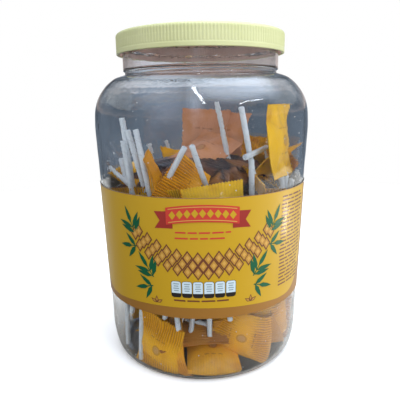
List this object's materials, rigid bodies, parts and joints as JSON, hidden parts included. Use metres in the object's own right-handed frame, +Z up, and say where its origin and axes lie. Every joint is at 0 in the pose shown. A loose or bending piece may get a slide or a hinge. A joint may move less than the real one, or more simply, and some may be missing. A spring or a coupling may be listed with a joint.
{
  "type": "jar of honey lollipops",
  "caption": "Sealed clear wide-mouth plastic jar of wrapped honey lollipops on paper sticks, with a ribbed yellow screw lid and a wrap-round golden label.",
  "frame": {"origin": "centre of the jar's standing ring, on the surface it stands on", "axes": "+Z up the jar's axis to the lid, -Y out of the middle of the label's front, +X to the right of the front"},
  "size_m": [0.1502, 0.1502, 0.226],
  "materials": {
    "clear_pet": "clear blown PET, glossy, slightly smoky",
    "lid_plastic": "satin moulded polyethylene, pale yellow",
    "label_print": "satin printed label, golden yellow",
    "wrapper_film": "glossy golden wrapper film",
    "stick_paper": "white rolled paper, matt",
    "honey_candy": "hard boiled honey sugar, glossy"
  },
  "bodies": {
    "root": {"jar": "clear_pet", "lid": "lid_plastic", "label": "label_print", "lollipops": "wrapper_film"}
  },
  "joints": []
}
